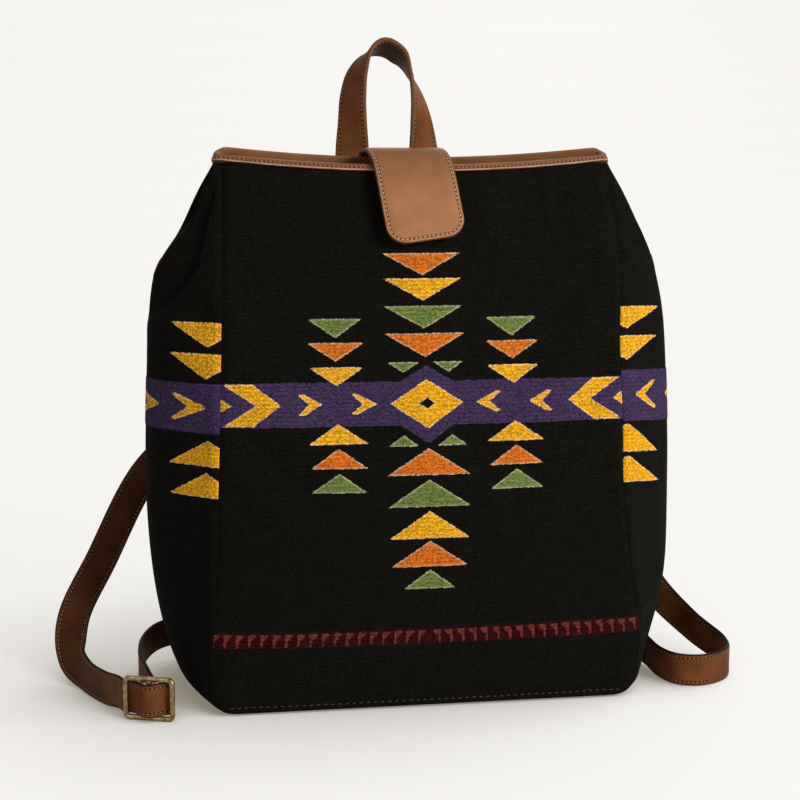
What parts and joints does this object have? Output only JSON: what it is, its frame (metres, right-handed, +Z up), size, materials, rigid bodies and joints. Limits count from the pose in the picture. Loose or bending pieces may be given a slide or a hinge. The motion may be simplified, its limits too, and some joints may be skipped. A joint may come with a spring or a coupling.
{
  "type": "backpack",
  "caption": "Soft cloth backpack with woven geometric bands, leather-bound rim, leather grab handle, a closure tab with a hidden snap and shoulder straps with slide buckles.",
  "frame": {"origin": "middle of the base, on the floor", "axes": "+Z up, the front with the closure tab faces -Y, +X to the right seen from the front"},
  "size_m": [0.4672, 0.1492, 0.4354],
  "materials": {
    "cloth": "matte woven cloth",
    "board": "matte fibreboard",
    "tan_leather": "smooth tan leather",
    "brown_leather": "smooth dark brown leather",
    "brass": "antique brass"
  },
  "bodies": {
    "bag": {"front_panel": "cloth", "back_panel": "cloth", "left_gusset": "cloth", "right_gusset": "cloth", "base_panel": "cloth", "base_board": "board", "rim_binding": "tan_leather", "back_yoke": "tan_leather", "tab_root": "tan_leather", "left_anchor": "tan_leather", "right_anchor": "tan_leather", "handle": "brown_leather", "left_strap": "brown_leather", "left_lower_strap": "brown_leather", "right_strap": "brown_leather", "right_lower_strap": "brown_leather", "snap_stud": "brass", "snap_washer": "brass", "left_buckle": "brass", "right_buckle": "brass"},
    "tab": {"closure_tab": "tan_leather", "tab_backing": "tan_leather", "snap_socket": "brass"}
  },
  "joints": [
    {"name": "tab_fold", "type": "hinge", "parent": "bag", "child": "tab", "pos_m": [-0.008, 0.01722, 0.35835], "axis": [-1, 0, 0], "range_deg": [0, 90]}
  ]
}
